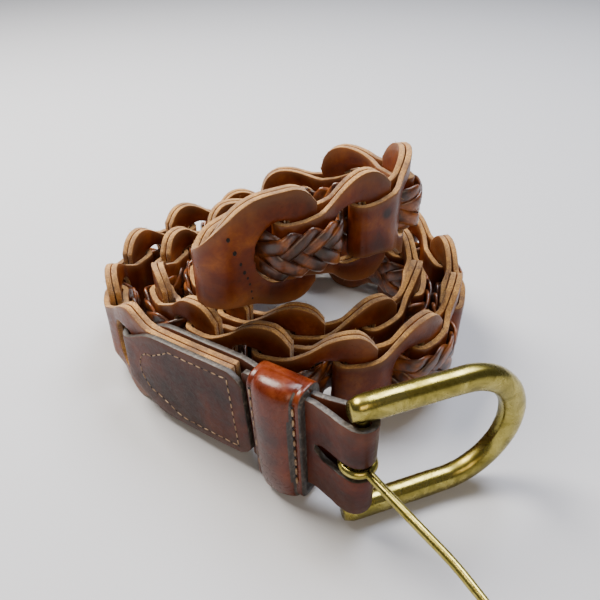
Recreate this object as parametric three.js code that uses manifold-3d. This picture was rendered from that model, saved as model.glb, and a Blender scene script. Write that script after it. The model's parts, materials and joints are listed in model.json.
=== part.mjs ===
// A laced leather belt with a brass buckle, rolled up and standing on its edge.
// Units are millimetres, +Z is up, and the origin is at the middle of the underside.
import * as THREE from 'three';
import Module from 'manifold-3d';
import { mergeVertices } from 'three/addons/utils/BufferGeometryUtils.js';

const wasm = await Module();
wasm.setup();

// Leather and clearances
const PLY = 1.6;             // one thickness of link leather
const CLEARANCE = 0.3;       // air between pieces that touch on the real belt
const CLASP_SLACK = 0.5;     // air between a link and the bar that it clasps
const PLY_GAP = 0.3;         // air between the two plies of a folded link
const STRAP_PLY = 2.0;       // one thickness of the buckle strap

// Links
const LINK_PITCH = 25.6;     // from one fold to the next
const END_BAR = 9;           // leather between an opening and the lobed end
const LINK_HEIGHT = 38;      // over the widest part of the lobes
const NECK_HEIGHT = 18;      // over the narrow fold
const OPENING_HEIGHT = 20.4; // of the oval opening
const OPENING_START = 14.5;  // from the fold to the near end of the opening
const LOBE_END_HEIGHT = 27;  // over the blunt end of the lobe

// Buckle strap
const STRAP_HEIGHT = 32;     // width of the strap, which stands on its edge
const STRAP_LENGTH = 84;     // from the heel bar to the strap's far fold
const STRAP_NECK_HEIGHT = 18; // where the strap passes through the first link
const FILLER_LENGTH = 45;    // tail of the first link, sewn between the strap's plies
const FILLER_HEIGHT = 30;    // width of that tail
const TAB_END = 37.5;        // from the heel bar to the thick end of the sewn tab
const TURNED_END = 35;       // from the heel bar to the end of the turned-back ply
const SLOT_LENGTH = 12;      // of the prong slot, along each ply
const SLOT_HEIGHT = 5.4;

// Keeper
const KEEPER_PLACE = 23;     // its middle, from the heel bar
const KEEPER_WIDTH = 17;     // along the strap
const KEEPER_WALL = 2;
const KEEPER_EASE = 0.7;     // extra room for the strap's slight rise
const KEEPER_DOME = 3.2;     // how far the padded front rises over its wall

// Buckle
const HEEL_RADIUS = 2.3;     // of the bar that the strap turns round
const FRAME_HEIGHT = 47;     // over the two arms
const FRAME_LENGTH = 51;     // from the heel bar to the outside of the bow
const FRAME_THICK = 7.4;     // of the cast section, in the frame's plane
const FRAME_DEEP = 6.2;      // of the cast section, across the frame's plane
const FRAME_HEADING = 20.5;  // degrees, where the frame points at rest
const PRONG_WIRE = 2.7;
const PRONG_LENGTH = 49;     // from the heel bar to the tip
const PRONG_HEADING = -57.5; // degrees, where the prong points at rest

// Tip strap
const TIP_HEIGHT = 31;       // width of the plain end
const TIP_THICK = 3.4;       // two plies sewn together
const PLATE_LENGTH = 11;     // from its opening to the turned end
const TIP_LENGTH = 52;       // beyond the turn
const TIP_POINT = 16;        // length of the pointed end
const TIP_BLUNT = 1.2;       // left off the very point
const TIP_HOLE = 4.2;        // across
const TIP_HOLES = 3;
const TIP_HOLE_PITCH = 14;   // between the prong holes, and from the last one to the point's end

// Braid
const BRAID_WIDTH = 16;
const BRAID_THICK = 2.2;
const BRAID_SEAM = 0.05;
const LINKS_PER_STRETCH = 5;

// The rolled belt's middle line, from the heel bar to the tip, chosen by hand.
const ROUTE = [
  { x: 27.3, y: 92.4, lift: 5 }, { x: 15, y: 101, lift: 5 }, { x: 2.7, y: 109.6, lift: 4.6 },
  { x: -9.6, y: 118.2, lift: 3.6 }, { x: -21.9, y: 126.8, lift: 2.2 }, { x: -34.2, y: 135.4, lift: 1 },
  { x: -46.5, y: 144.6, lift: 0 }, { x: -58, y: 156, lift: 0 }, { x: -64.5, y: 171.5, lift: 0 },
  { x: -64, y: 189, lift: 0 }, { x: -56.5, y: 206, lift: 0 }, { x: -42.9, y: 222.3, lift: 0 },
  { x: -20.4, y: 233.2, lift: 0 }, { x: 5, y: 235, lift: 0 }, { x: 29, y: 228.5, lift: 0 },
  { x: 46, y: 212, lift: 0 }, { x: 54.4, y: 189.1, lift: 0 }, { x: 52.4, y: 166.8, lift: 0 },
  { x: 42, y: 149, lift: 0 }, { x: 26, y: 138.5, lift: 0 }, { x: 8, y: 136, lift: 0 },
  { x: -10, y: 140.5, lift: 0 }, { x: -26, y: 148.5, lift: 0 }, { x: -39, y: 158.5, lift: 0 },
  { x: -48, y: 171, lift: 0 }, { x: -50.5, y: 186, lift: 0 }, { x: -45.5, y: 201, lift: 0 },
  { x: -32.7, y: 212.6, lift: 0 }, { x: -14.7, y: 219.3, lift: 0 }, { x: 7, y: 221, lift: 0 },
  { x: 27, y: 212.5, lift: 0 }, { x: 39.1, y: 197.2, lift: 0 }, { x: 41.5, y: 181, lift: 0 },
  { x: 36.2, y: 166.4, lift: 0 }, { x: 25, y: 155, lift: 0 }, { x: 11, y: 149.5, lift: 0 },
  { x: -4, y: 151, lift: 0 }, { x: -18, y: 157, lift: 0 }, { x: -29.5, y: 167, lift: 0.8 },
  { x: -35.5, y: 180.5, lift: 3 }, { x: -33, y: 194, lift: 6.5 }, { x: -21.5, y: 204.5, lift: 12 },
  { x: -5, y: 209, lift: 19 }, { x: 12.5, y: 206.5, lift: 27 }, { x: 27, y: 197.5, lift: 34.5 },
  { x: 33.5, y: 183.5, lift: 38.6 }, { x: 28.5, y: 170.5, lift: 39.6 }, { x: 15, y: 161.5, lift: 39.2 },
  { x: 0, y: 154, lift: 39.2 }, { x: -14, y: 147, lift: 39.2 }, { x: -22.5, y: 143.2, lift: 39.2 },
  { x: -29, y: 146.5, lift: 39.2 }, { x: -27.5, y: 154, lift: 39.2 }, { x: -17.5, y: 160.5, lift: 39.2 },
  { x: -7, y: 166, lift: 39.2 }, { x: 8, y: 173, lift: 39.2 }, { x: 20, y: 179, lift: 39.2 },
];
const HEEL = 1;              // the row of ROUTE at the heel bar
const STEPS_PER_ROW = 12;
const TIP_STEPS = 14;
const PLATE_SHARES = [0.5, 1];

const LEATHER = { color: 0x7a3d1f, roughness: 0.5, metalness: 0 };
const DARK_LEATHER = { color: 0x45211a, roughness: 0.45, metalness: 0 };
const LACE = { color: 0x5b3322, roughness: 0.45, metalness: 0 };
const KEEPER_LEATHER = { color: 0x7b3320, roughness: 0.3, metalness: 0 };
const BRASS = { color: 0xa8893f, roughness: 0.3, metalness: 1 };

const root = new THREE.Group();
const radians = THREE.MathUtils.degToRad;

// The middle line, measured along its length, with its outward side and its up direction.
function measureRoute() {
  const rows = ROUTE.map((row) => new THREE.Vector3(row.x, row.y, row.lift + LINK_HEIGHT / 2));
  const curve = new THREE.CatmullRomCurve3(rows, false, 'catmullrom', 0.5);
  const count = (rows.length - 1) * STEPS_PER_ROW;
  const points = curve.getPoints(count);
  const along = [0];
  for (let step = 1; step <= count; step += 1) {
    along.push(along[step - 1] + points[step].distanceTo(points[step - 1]));
  }
  const start = along[HEEL * STEPS_PER_ROW];
  return { points, along: along.map((length) => length - start) };
}

const route = measureRoute();
const UP = new THREE.Vector3(0, 0, 1);

function pointOnRoute(length) {
  const { points, along } = route;
  let step = 1;
  while (step < along.length - 1 && along[step] < length) step += 1;
  const share = (length - along[step - 1]) / (along[step] - along[step - 1]);
  return points[step - 1].clone().lerp(points[step], share);
}

function placeOnRoute(length) {
  const reach = 1.5;
  const middle = pointOnRoute(length);
  const tangent = pointOnRoute(length + reach).sub(pointOnRoute(length - reach)).normalize();
  const outward = new THREE.Vector3().crossVectors(UP, tangent).normalize();
  const up = new THREE.Vector3().crossVectors(tangent, outward);
  return { middle, tangent, outward, up };
}

// A point given as a length along the belt, a distance outward and a height from its middle line.
function onBelt(length, out, height) {
  const { middle, outward, up } = placeOnRoute(length);
  return middle.addScaledVector(outward, out).addScaledVector(up, height);
}

// A closed wall from a grid of stations and lines, left open where filled() says so.
function wall(stations, lines, corner, filled) {
  const positions = [];
  const index = [];
  const id = (i, j, side) => (i * lines + j) * 2 + side;
  for (let i = 0; i < stations; i += 1) {
    for (let j = 0; j < lines; j += 1) {
      positions.push(...corner(i, j, 0).toArray(), ...corner(i, j, 1).toArray());
    }
  }
  const quad = (a, b, c, d) => index.push(a, b, c, a, c, d);
  const has = (i, j) => i >= 0 && j >= 0 && i < stations - 1 && j < lines - 1 && filled(i, j);
  for (let i = 0; i < stations - 1; i += 1) {
    for (let j = 0; j < lines - 1; j += 1) {
      if (!has(i, j)) continue;
      quad(id(i, j, 1), id(i + 1, j, 1), id(i + 1, j + 1, 1), id(i, j + 1, 1));
      quad(id(i, j, 0), id(i, j + 1, 0), id(i + 1, j + 1, 0), id(i + 1, j, 0));
      if (!has(i, j - 1)) quad(id(i, j, 0), id(i + 1, j, 0), id(i + 1, j, 1), id(i, j, 1));
      if (!has(i, j + 1)) quad(id(i, j + 1, 1), id(i + 1, j + 1, 1), id(i + 1, j + 1, 0), id(i, j + 1, 0));
      if (!has(i - 1, j)) quad(id(i, j, 1), id(i, j + 1, 1), id(i, j + 1, 0), id(i, j, 0));
      if (!has(i + 1, j)) quad(id(i + 1, j, 0), id(i + 1, j + 1, 0), id(i + 1, j + 1, 1), id(i + 1, j, 1));
    }
  }
  const geometry = new THREE.BufferGeometry();
  geometry.setAttribute('position', new THREE.Float32BufferAttribute(positions, 3));
  geometry.setIndex(index);
  return facingOut(mergeVertices(geometry, 1e-5));
}

function volumeOf(geometry) {
  const position = geometry.getAttribute('position');
  const index = geometry.getIndex();
  const corner = [new THREE.Vector3(), new THREE.Vector3(), new THREE.Vector3()];
  let volume = 0;
  for (let i = 0; i < index.count; i += 3) {
    corner.forEach((point, k) => point.fromBufferAttribute(position, index.getX(i + k)));
    volume += corner[0].dot(corner[1].clone().cross(corner[2])) / 6;
  }
  return volume;
}

function facingOut(geometry) {
  if (volumeOf(geometry) > 0) return geometry;
  const index = geometry.getIndex();
  for (let i = 0; i < index.count; i += 3) {
    const second = index.getX(i + 1);
    index.setX(i + 1, index.getX(i + 2));
    index.setX(i + 2, second);
  }
  return geometry;
}

function solidOf(geometry) {
  const bare = geometry.clone();
  bare.deleteAttribute('normal');
  bare.deleteAttribute('uv');
  const merged = facingOut(mergeVertices(bare, 1e-4));
  const vertProperties = Float32Array.from(merged.getAttribute('position').array);
  const triVerts = Uint32Array.from(merged.getIndex().array);
  return new wasm.Manifold(new wasm.Mesh({ numProp: 3, vertProperties, triVerts }));
}

function geometryOf(solid) {
  const mesh = solid.getMesh();
  const geometry = new THREE.BufferGeometry();
  geometry.setAttribute('position', new THREE.Float32BufferAttribute(mesh.vertProperties, 3));
  geometry.setIndex(Array.from(mesh.triVerts));
  return geometry;
}

function addPiece(name, geometry, finish) {
  const mesh = new THREE.Mesh(geometry, new THREE.MeshStandardMaterial(finish));
  mesh.name = name;
  root.add(mesh);
  return mesh;
}

// How far a link's inner face stands from the middle line, closed on itself and round a bar.
const CLOSED = PLY_GAP / 2;
const CLASP = CLOSED + PLY + CLASP_SLACK;
const FOLD_ANGLES = [-90, -45, 0, 45, 90];

// One ply of a link: its place from the fold, how far it clasps, its height and its opening.
function linkRows(endBar, endHeight) {
  const full = LINK_HEIGHT / 2;
  const neck = NECK_HEIGHT / 2;
  const open = OPENING_HEIGHT / 2;
  const start = OPENING_START;
  const span = LINK_PITCH - start;
  const lobe = (share) => neck + (full - neck) * share;
  return [
    { along: 0, clasp: 1, half: neck, open: 0.6 * open, cut: false },
    { along: 0.55 * END_BAR, clasp: 1, half: lobe(0.03), open: 0.6 * open, cut: false },
    { along: END_BAR + CLEARANCE, clasp: 1, half: lobe(0.12), open: 0.6 * open, cut: false },
    { along: start, clasp: 0, half: lobe(0.36), open: 0.84 * open, cut: true },
    { along: start + 0.2 * span, clasp: 0, half: lobe(0.56), open: 0.95 * open, cut: true },
    { along: start + 0.6 * span, clasp: 0, half: lobe(0.88), open, cut: true },
    { along: LINK_PITCH, clasp: 0, half: full, open: 0.95 * open, cut: false },
    { along: LINK_PITCH + 0.55 * endBar, clasp: 0, half: endHeight / 2 + 0.5 * (full - endHeight / 2), open: 0.9 * open, cut: false },
    { along: LINK_PITCH + endBar, clasp: 0, half: endHeight / 2, open: 0.8 * open, cut: false },
  ];
}

// A folded leather link: two plies joined by a fold that clasps the next link's end bar.
function linkGeometry(foldAt, endBar, endHeight) {
  const rows = linkRows(endBar, endHeight);
  const inner = (row) => CLOSED + (CLASP - CLOSED) * row.clasp;
  const stations = [];
  for (const row of rows.slice().reverse()) stations.push({ row, u: row.along, side: -1 });
  for (const angle of FOLD_ANGLES.slice(1, -1)) stations.push({ row: rows[0], angle });
  for (const row of rows) stations.push({ row, u: row.along, side: 1 });
  const heights = (row) => [-row.half, -row.open, row.open, row.half];
  const corner = (i, j, outside) => {
    const { row, u, side, angle } = stations[i];
    const height = heights(row)[j];
    if (angle !== undefined) {
      const radius = CLASP + PLY * outside;
      const out = radius * Math.sin(radians(angle));
      return onBelt(foldAt + radius * Math.cos(radians(angle)), out, height);
    }
    return onBelt(foldAt - u, side * (inner(row) + PLY * outside), height);
  };
  const last = stations.length - 1;
  const cutBetween = (i) => {
    const near = i < stations.length / 2 ? stations[i + 1].row : stations[i].row;
    return near.cut && stations[i].angle === undefined && i + 1 <= last;
  };
  return wall(stations.length, 4, corner, (i, j) => j !== 1 || !cutBetween(i));
}

function addLinks(count) {
  for (let number = 1; number <= count; number += 1) {
    const first = number === 1;
    const endBar = first ? FILLER_LENGTH : END_BAR;
    const endHeight = first ? FILLER_HEIGHT : LOBE_END_HEIGHT;
    const foldAt = STRAP_LENGTH + number * LINK_PITCH;
    const name = `link_${String(number).padStart(2, '0')}`;
    addPiece(name, linkGeometry(foldAt, endBar, endHeight), LEATHER);
  }
}

// The strap: from the sewn tab's end, round the first link's tail, back to the heel bar, round it.
function strapGeometry() {
  const half = STRAP_HEIGHT / 2;
  const neck = STRAP_NECK_HEIGHT / 2;
  const slot = SLOT_HEIGHT / 2;
  const heel = HEEL_RADIUS + 0.5;
  const grip = CLASP;
  const stations = [];
  const put = (at, out, tall, cut = false) => stations.push({ at, out, tall, cut });
  const turn = (centre, radius, facing, tall, cut) => {
    for (const angle of [-60, -30, 0, 30, 60]) stations.push({ centre, radius, facing, angle, tall, cut });
  };
  put(TAB_END, 1, half);
  put(STRAP_LENGTH - 34, 1, half);
  put(STRAP_LENGTH - 18, 1, half);
  put(STRAP_LENGTH - 9, 1, half - 2.4);
  put(STRAP_LENGTH - 3, 1, neck + 1.4);
  put(STRAP_LENGTH, 1, neck);
  turn(STRAP_LENGTH, grip, 1, neck, false);
  put(STRAP_LENGTH, -1, neck);
  put(STRAP_LENGTH - 3, -1, neck + 1.4);
  put(STRAP_LENGTH - 9, -1, half - 2.4);
  put(STRAP_LENGTH - 18, -1, half);
  put(STRAP_LENGTH - 34, -1, half);
  put(TAB_END, -0.9, half);
  put(TURNED_END - 5, -0.1, half);
  put(SLOT_LENGTH, -0.1, half, true);
  put(SLOT_LENGTH / 2, -0.7, half, true);
  put(0, -1, half, true);
  turn(0, heel, -1, half, true);
  put(0, 1, half, true);
  put(SLOT_LENGTH / 2, 0.7, half, true);
  put(SLOT_LENGTH, 0.1, half);
  put(TURNED_END - 5, 0.1, half);
  put(TURNED_END, 0.1, half);
  const innerOut = (station) => {
    const wide = station.at < TURNED_END ? heel : grip;
    return Math.sign(station.out) * (CLOSED + (wide - CLOSED) * Math.abs(station.out));
  };
  const corner = (i, j, outside) => {
    const station = stations[i];
    const height = [-station.tall, -slot, slot, station.tall][j];
    if (station.angle !== undefined) {
      const radius = station.radius + STRAP_PLY * outside;
      const swing = radians(station.angle);
      const out = -station.facing * radius * Math.sin(swing);
      return onBelt(station.centre + station.facing * radius * Math.cos(swing), out, height);
    }
    const out = innerOut(station) + Math.sign(station.out) * STRAP_PLY * outside;
    return onBelt(station.at, out, height);
  };
  return wall(stations.length, 4, corner, (i, j) => j !== 1 || !(stations[i].cut && stations[i + 1].cut));
}

// The keeper: a padded leather loop round the strap.
function addKeeper() {
  const across = CLOSED + STRAP_PLY + CLEARANCE + KEEPER_EASE;
  const tall = STRAP_HEIGHT / 2 + CLEARANCE;
  const outer = new THREE.Shape();
  const top = tall + KEEPER_WALL;
  const back = -(across + KEEPER_WALL);
  const front = across + KEEPER_WALL;
  outer.moveTo(back, -top + 1.5);
  outer.quadraticCurveTo(back, -top, back + 1.5, -top);
  outer.lineTo(across, -top);
  outer.quadraticCurveTo(front + KEEPER_DOME * 0.7, -top, front + KEEPER_DOME, -top * 0.55);
  outer.lineTo(front + KEEPER_DOME, top * 0.55);
  outer.quadraticCurveTo(front + KEEPER_DOME * 0.7, top, across, top);
  outer.lineTo(back + 1.5, top);
  outer.quadraticCurveTo(back, top, back, top - 1.5);
  outer.closePath();
  const loop = new THREE.Path();
  loop.moveTo(-across, -tall);
  loop.lineTo(-across, tall);
  loop.lineTo(across, tall);
  loop.lineTo(across, -tall);
  loop.closePath();
  outer.holes.push(loop);
  const geometry = new THREE.ExtrudeGeometry(outer, { depth: KEEPER_WIDTH, bevelEnabled: false, curveSegments: 5 });
  const { middle, outward, up } = placeOnRoute(KEEPER_PLACE);
  const place = new THREE.Matrix4().makeBasis(outward, up, new THREE.Vector3().crossVectors(outward, up));
  geometry.translate(0, 0, -KEEPER_WIDTH / 2);
  geometry.applyMatrix4(place);
  geometry.translate(middle.x, middle.y, middle.z);
  addPiece('keeper', geometryOf(solidOf(geometry)), KEEPER_LEATHER);
}

// An oval section for a cast or drawn bar.
function ovalSection(thick, deep, sides) {
  const points = [];
  for (let side = 0; side < sides; side += 1) {
    const angle = ((side + 0.5) / sides) * 2 * Math.PI;
    points.push(new THREE.Vector2(Math.cos(angle) * deep / 2, Math.sin(angle) * thick / 2));
  }
  return new THREE.Shape(points);
}

const heelPoint = pointOnRoute(0);

// The buckle's frame lies in a plane through the heel bar; x runs out along it, z up.
function addFrame() {
  const arm = FRAME_HEIGHT / 2 - FRAME_THICK / 2;
  const reach = FRAME_LENGTH - FRAME_THICK / 2;
  const bowStart = reach - arm * 0.95;
  const path = new THREE.CurvePath();
  const v = (x, z) => new THREE.Vector3(x, 0, z);
  path.add(new THREE.LineCurve3(v(-FRAME_THICK * 0.45, arm), v(bowStart, arm)));
  const squash = reach - bowStart;
  const bow = [];
  for (let step = 0; step <= 16; step += 1) {
    const angle = Math.PI / 2 - (step / 16) * Math.PI;
    bow.push(v(bowStart + Math.cos(angle) * squash, Math.sin(angle) * arm));
  }
  path.add(new THREE.CatmullRomCurve3(bow, false, 'catmullrom', 0.5));
  path.add(new THREE.LineCurve3(v(bowStart, -arm), v(-FRAME_THICK * 0.45, -arm)));
  const section = ovalSection(FRAME_DEEP, FRAME_THICK, 8);
  const bar = new THREE.ExtrudeGeometry(section, { steps: 34, extrudePath: path, bevelEnabled: false });
  const heelBar = new THREE.CylinderGeometry(HEEL_RADIUS, HEEL_RADIUS, arm * 2, 12);
  heelBar.rotateX(Math.PI / 2);
  const geometry = geometryOf(solidOf(bar).add(solidOf(heelBar)));
  geometry.rotateZ(radians(FRAME_HEADING));
  addPiece('buckle_frame', geometry, BRASS).position.copy(heelPoint);
}

// The prong's eye goes round the heel bar through the strap's slot.
function addProng() {
  const eyeRadius = HEEL_RADIUS + 0.4 + PRONG_WIRE / 2;
  const eye = new THREE.TorusGeometry(eyeRadius, PRONG_WIRE / 2, 6, 16);
  const v = (x, y, z) => new THREE.Vector3(x, y, z);
  const path = new THREE.CatmullRomCurve3([
    v(eyeRadius * 0.8, 0, 0), v(PRONG_LENGTH * 0.35, 0.4, 0), v(PRONG_LENGTH * 0.7, 1.2, 0), v(PRONG_LENGTH, 0.2, 0),
  ], false, 'catmullrom', 0.5);
  const wire = new THREE.ExtrudeGeometry(
    ovalSection(PRONG_WIRE, PRONG_WIRE, 8), { steps: 10, extrudePath: path, bevelEnabled: false });
  const geometry = geometryOf(solidOf(eye).add(solidOf(wire)));
  geometry.rotateZ(radians(PRONG_HEADING));
  addPiece('buckle_prong', geometry, BRASS).position.copy(heelPoint);
}

// The sewn plate with its opening, which runs on as the plain pointed tip strap.
function tipGeometry(foldAt) {
  const full = LINK_HEIGHT / 2;
  const tip = TIP_HEIGHT / 2;
  const plateStart = foldAt - OPENING_START;
  const rows = linkRows(END_BAR, LOBE_END_HEIGHT).filter((row) => row.along >= OPENING_START).reverse();
  const stations = rows.map((row) => (
    { at: foldAt - row.along, tall: row.half, open: row.open, cut: row.cut }));
  const nearest = stations.length - 1;
  stations.slice(nearest - 2).forEach((station) => { station.tall = full; });
  for (const share of PLATE_SHARES) {
    const tall = tip + (full - tip) * (1 - share);
    stations.push({ at: plateStart + PLATE_LENGTH * share, tall, open: 0.3 * tall });
  }
  for (let step = 1; step <= TIP_STEPS; step += 1) {
    const left = TIP_LENGTH * (1 - step / TIP_STEPS);
    const tall = tip * Math.sqrt(Math.min(1, (left + TIP_BLUNT) / TIP_POINT));
    stations.push({ at: plateStart + PLATE_LENGTH + TIP_LENGTH - left, tall, open: 0.3 * tall });
  }
  const corner = (i, j, outside) => {
    const { at, tall, open } = stations[i];
    return onBelt(at, (outside - 0.5) * TIP_THICK, [-tall, -open, open, tall][j]);
  };
  const strap = wall(stations.length, 4, corner, (i, j) => j !== 1 || !stations[i + 1].cut);
  return geometryOf(prongHoles(plateStart + PLATE_LENGTH + TIP_LENGTH, solidOf(strap)));
}

// Round holes for the prong, in a row along the tip strap.
function prongHoles(end, strap) {
  let cutStrap = strap;
  for (let hole = 1; hole <= TIP_HOLES; hole += 1) {
    const { middle, tangent, outward, up } = placeOnRoute(end - hole * TIP_HOLE_PITCH);
    const punch = new THREE.CylinderGeometry(TIP_HOLE / 2, TIP_HOLE / 2, 3 * TIP_THICK, 12);
    punch.applyMatrix4(new THREE.Matrix4().makeBasis(tangent, outward, up).setPosition(middle));
    cutStrap = cutStrap.subtract(solidOf(punch));
  }
  return cutStrap;
}

// The flat braid of laces, a band that passes outside and inside the necks in turn. It is made in
// stretches that meet end to end on a neck, so that each is a simple shape.
function addBraid(linkCount) {
  const half = BRAID_WIDTH / 2;
  const swing = CLASP + PLY + CLEARANCE + BRAID_THICK / 2;
  const first = STRAP_LENGTH + LINK_PITCH;
  const neckFar = CLASP + PLY;
  const low = CLOSED + PLY + CLEARANCE + BRAID_THICK / 2 + 0.2;
  const stations = [];
  for (let number = 1; number <= linkCount + 1; number += 1) {
    const foldAt = first + (number - 1) * LINK_PITCH;
    const side = (linkCount - number) % 2 === 0 ? 1 : -1;
    const rows = [
      { u: OPENING_START + 1.1, out: low + 0.2 },
      { u: OPENING_START - 1, out: low + 0.7 },
      { u: END_BAR + 0.8, out: swing },
      { u: END_BAR / 2, out: swing }, { u: 0, out: swing }, { u: -neckFar - 0.6, out: swing },
    ];
    for (const row of rows) stations.push({ at: foldAt - row.u, out: side * row.out });
  }
  const slope = (i) => {
    const before = stations[Math.max(i - 1, 0)];
    const after = stations[Math.min(i + 1, stations.length - 1)];
    return Math.atan2(after.out - before.out, after.at - before.at);
  };
  const rowsPerLink = 6;
  const neckRow = 4;
  let from = 0;
  let stretch = 1;
  while (from < stations.length - 1) {
    const next = stretch * LINKS_PER_STRETCH * rowsPerLink + neckRow;
    const to = stretch * LINKS_PER_STRETCH >= linkCount ? stations.length - 1 : next;
    const start = from;
    const corner = (i, j, outside) => {
      const row = start + i;
      const tilt = slope(row);
      const shift = (outside - 0.5) * BRAID_THICK;
      const seam = i === 0 && start > 0 ? BRAID_SEAM : 0;
      const at = stations[row].at + seam - Math.sin(tilt) * shift;
      return onBelt(at, stations[row].out + Math.cos(tilt) * shift, j === 0 ? -half : half);
    };
    addPiece(`center_braid_${stretch}`, wall(to - start + 1, 2, corner, () => true), LACE);
    from = to;
    stretch += 1;
  }
}

const LINK_COUNT = 30;
addLinks(LINK_COUNT);
addPiece('buckle_strap', strapGeometry(), DARK_LEATHER);
addKeeper();
addFrame();
addProng();
addPiece('tip_strap', tipGeometry(STRAP_LENGTH + (LINK_COUNT + 1) * LINK_PITCH), DARK_LEATHER);
addBraid(LINK_COUNT);

const box = new THREE.Box3().setFromObject(root);
root.position.set(-(box.min.x + box.max.x) / 2, -(box.min.y + box.max.y) / 2, -box.min.z);
root.updateMatrixWorld(true);

export default root;
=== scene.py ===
"""A rolled belt of folded leather links laced with a flat braid, with a brass buckle."""
import json
import math

import bmesh
import bpy
import numpy as np
from mathutils import Matrix, Vector


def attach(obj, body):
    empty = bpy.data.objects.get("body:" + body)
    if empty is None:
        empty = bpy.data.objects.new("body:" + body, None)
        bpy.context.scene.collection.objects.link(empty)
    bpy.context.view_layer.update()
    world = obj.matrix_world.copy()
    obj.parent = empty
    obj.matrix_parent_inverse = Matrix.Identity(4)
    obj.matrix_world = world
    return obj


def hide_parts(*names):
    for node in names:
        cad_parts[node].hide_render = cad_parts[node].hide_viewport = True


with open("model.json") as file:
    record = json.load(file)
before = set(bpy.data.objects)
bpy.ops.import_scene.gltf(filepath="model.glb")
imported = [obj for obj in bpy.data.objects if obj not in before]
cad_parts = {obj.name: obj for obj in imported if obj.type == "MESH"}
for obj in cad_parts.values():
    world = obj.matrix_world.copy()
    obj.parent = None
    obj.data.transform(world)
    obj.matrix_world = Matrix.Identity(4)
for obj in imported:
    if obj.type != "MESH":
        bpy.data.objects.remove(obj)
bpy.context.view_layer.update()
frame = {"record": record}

MM = 0.001

# Leather
PLY = 1.95 * MM
PLY_GAP = 0.3 * MM
CLASP_SLACK = 0.15 * MM
STRAP_PLY = 2.0 * MM
EDGE_ROUND = 0.32 * MM
PIECE_CLEARANCE = 0.3 * MM

# Links
LINK_COUNT = 30
LINK_PITCH = 25.6 * MM
END_BAR = 9 * MM
LINK_HEIGHT = 38 * MM
OPENING_START = 14.5 * MM

# Buckle strap
STRAP_HEIGHT = 32 * MM
STRAP_LENGTH = 84 * MM
STRAP_NECK_HEIGHT = 18 * MM
FILLER_LENGTH = 45 * MM
FILLER_HEIGHT = 30 * MM
SLOT_END = 12 * MM
SLOT_HEIGHT = 5.4 * MM

# Keeper
KEEPER_PLACE = 23 * MM
KEEPER_WIDTH = 17 * MM
KEEPER_WALL = 2 * MM
KEEPER_DOME = 3.2 * MM
KEEPER_EASE = 0.7 * MM
KEEPER_SAG = 3.8 * MM
KEEPER_CORNER = 1.8 * MM
KEEPER_STEPS = 128

# Buckle
HEEL_RADIUS = 2.3 * MM
HEEL_CLEARANCE = 0.5 * MM
EYE_CLEARANCE = 0.4 * MM
FRAME_HEIGHT = 47 * MM
FRAME_LENGTH = 51 * MM
FRAME_THICK = 7.4 * MM
FRAME_DEEP = 6.2 * MM
FRAME_HEADING = math.radians(20.5)
PRONG_WIRE = 2.7 * MM
PRONG_LENGTH = 49 * MM
PRONG_HEADING = math.radians(-57.5)

# Tip strap
PLATE_LENGTH = 11 * MM
TIP_LENGTH = 52 * MM
TIP_POINT = 16 * MM
TIP_BLUNT = 1.2 * MM

# Braid of laces
LACES = 5
LACE_WIDTH = 4.0 * MM
LACE_THICK = 1.15 * MM
BRAID_WIDTH = 16 * MM
BRAID_THICK = 2.2 * MM
BRAID_REPEAT = 34 * MM
BRAID_STRETCHES = 6
LACE_STEP = 0.9 * MM

# Stitches
TAB_STITCH_START = 39 * MM
TAB_STITCH_END = 79 * MM
STITCH_INSET = 3 * MM

# Camera
CAMERA_SENSOR = 36
CAMERA_LENS = 36
CAMERA_RISE = 150 * MM
CAMERA_PITCH = math.radians(90 - 36.2)

CLOSED = PLY_GAP / 2
CLASP = CLOSED + PLY + CLASP_SLACK
KEEPER_OUT = CLOSED + STRAP_PLY + PIECE_CLEARANCE + KEEPER_EASE

# The rolled belt's middle line, from the heel bar to the tip: x, y and lift in millimetres.
ROUTE = [
    (27.3, 92.4, 5), (15, 101, 5), (2.7, 109.6, 4.6), (-9.6, 118.2, 3.6), (-21.9, 126.8, 2.2),
    (-34.2, 135.4, 1), (-46.5, 144.6, 0), (-58, 156, 0), (-64.5, 171.5, 0), (-64, 189, 0),
    (-56.5, 206, 0), (-42.9, 222.3, 0), (-20.4, 233.2, 0), (5, 235, 0), (29, 228.5, 0), (46, 212, 0),
    (54.4, 189.1, 0), (52.4, 166.8, 0), (42, 149, 0), (26, 138.5, 0), (8, 136, 0), (-10, 140.5, 0),
    (-26, 148.5, 0), (-39, 158.5, 0), (-48, 171, 0), (-50.5, 186, 0), (-45.5, 201, 0),
    (-32.7, 212.6, 0), (-14.7, 219.3, 0), (7, 221, 0), (27, 212.5, 0), (39.1, 197.2, 0), (41.5, 181, 0),
    (36.2, 166.4, 0), (25, 155, 0), (11, 149.5, 0), (-4, 151, 0), (-18, 157, 0), (-29.5, 167, 0.8),
    (-35.5, 180.5, 3), (-33, 194, 6.5), (-21.5, 204.5, 12), (-5, 209, 19), (12.5, 206.5, 27),
    (27, 197.5, 34.5), (33.5, 183.5, 38.6), (28.5, 170.5, 39.6), (15, 161.5, 39.2), (0, 154, 39.2),
    (-14, 147, 39.2), (-22.5, 143.2, 39.2), (-29, 146.5, 39.2), (-27.5, 154, 39.2),
    (-17.5, 160.5, 39.2), (-7, 166, 39.2), (8, 173, 39.2), (20, 179, 39.2),
]
HEEL_ROW = 1
STEPS_PER_ROW = 24

JOINTS = {joint["name"]: joint for joint in frame["record"]["behaviour"]["joints"]}
HEEL_POINT = Vector(JOINTS["buckle_swing"]["pos_m"])
HEEL_X, HEEL_Y, HEEL_LIFT = (value * MM for value in ROUTE[HEEL_ROW])
SHIFT = HEEL_POINT - Vector((HEEL_X, HEEL_Y, HEEL_LIFT + LINK_HEIGHT / 2))


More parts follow.
